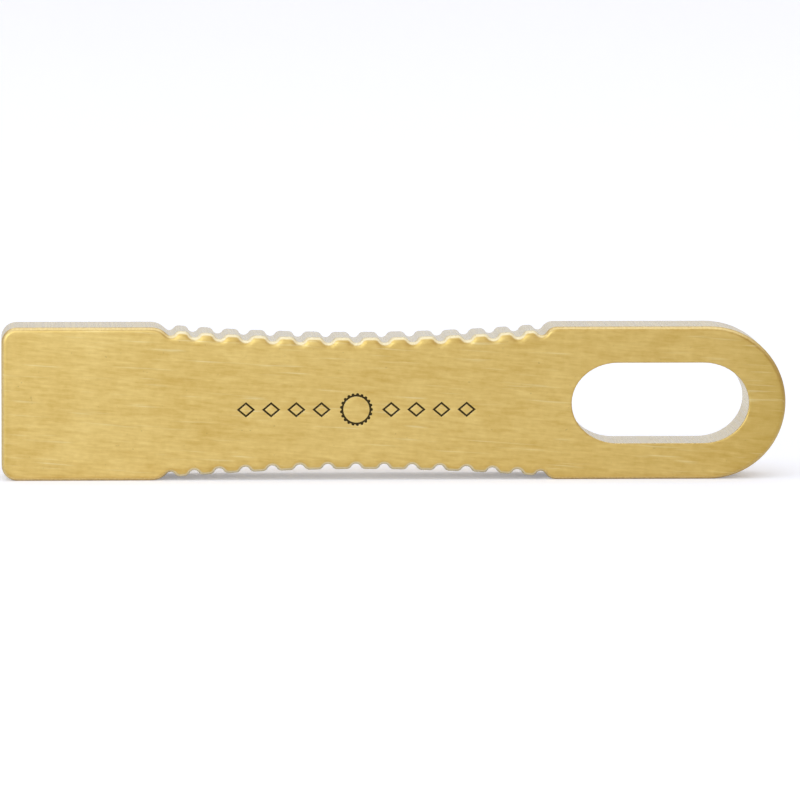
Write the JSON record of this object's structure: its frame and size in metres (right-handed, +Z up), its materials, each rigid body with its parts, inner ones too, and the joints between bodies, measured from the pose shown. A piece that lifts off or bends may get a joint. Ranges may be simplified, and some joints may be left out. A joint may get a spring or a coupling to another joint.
{
  "type": "keychain bottle opener",
  "caption": "Solid brass bar with grooved waisted grip, long key ring slot in its rounded end, and a cap pocket with a steel catch plate in the back of its block end.",
  "frame": {"origin": "middle of the long narrow edge that the bar stands on, at the centre of its length and thickness", "axes": "+X along the bar from the block end towards the key ring slot, +Y from the front broad face to the back one, +Z up"},
  "size_m": [0.0811, 0.0064, 0.0159],
  "materials": {
    "brushed_brass": "fine lengthwise brushing, light satin sheen, softly rounded edges",
    "catch_steel": "ground stainless steel",
    "screw_steel": "turned stainless steel"
  },
  "bodies": {
    "root": {"bar_body": "brushed_brass", "cap_catch": "catch_steel", "catch_screws": "screw_steel"}
  },
  "joints": []
}
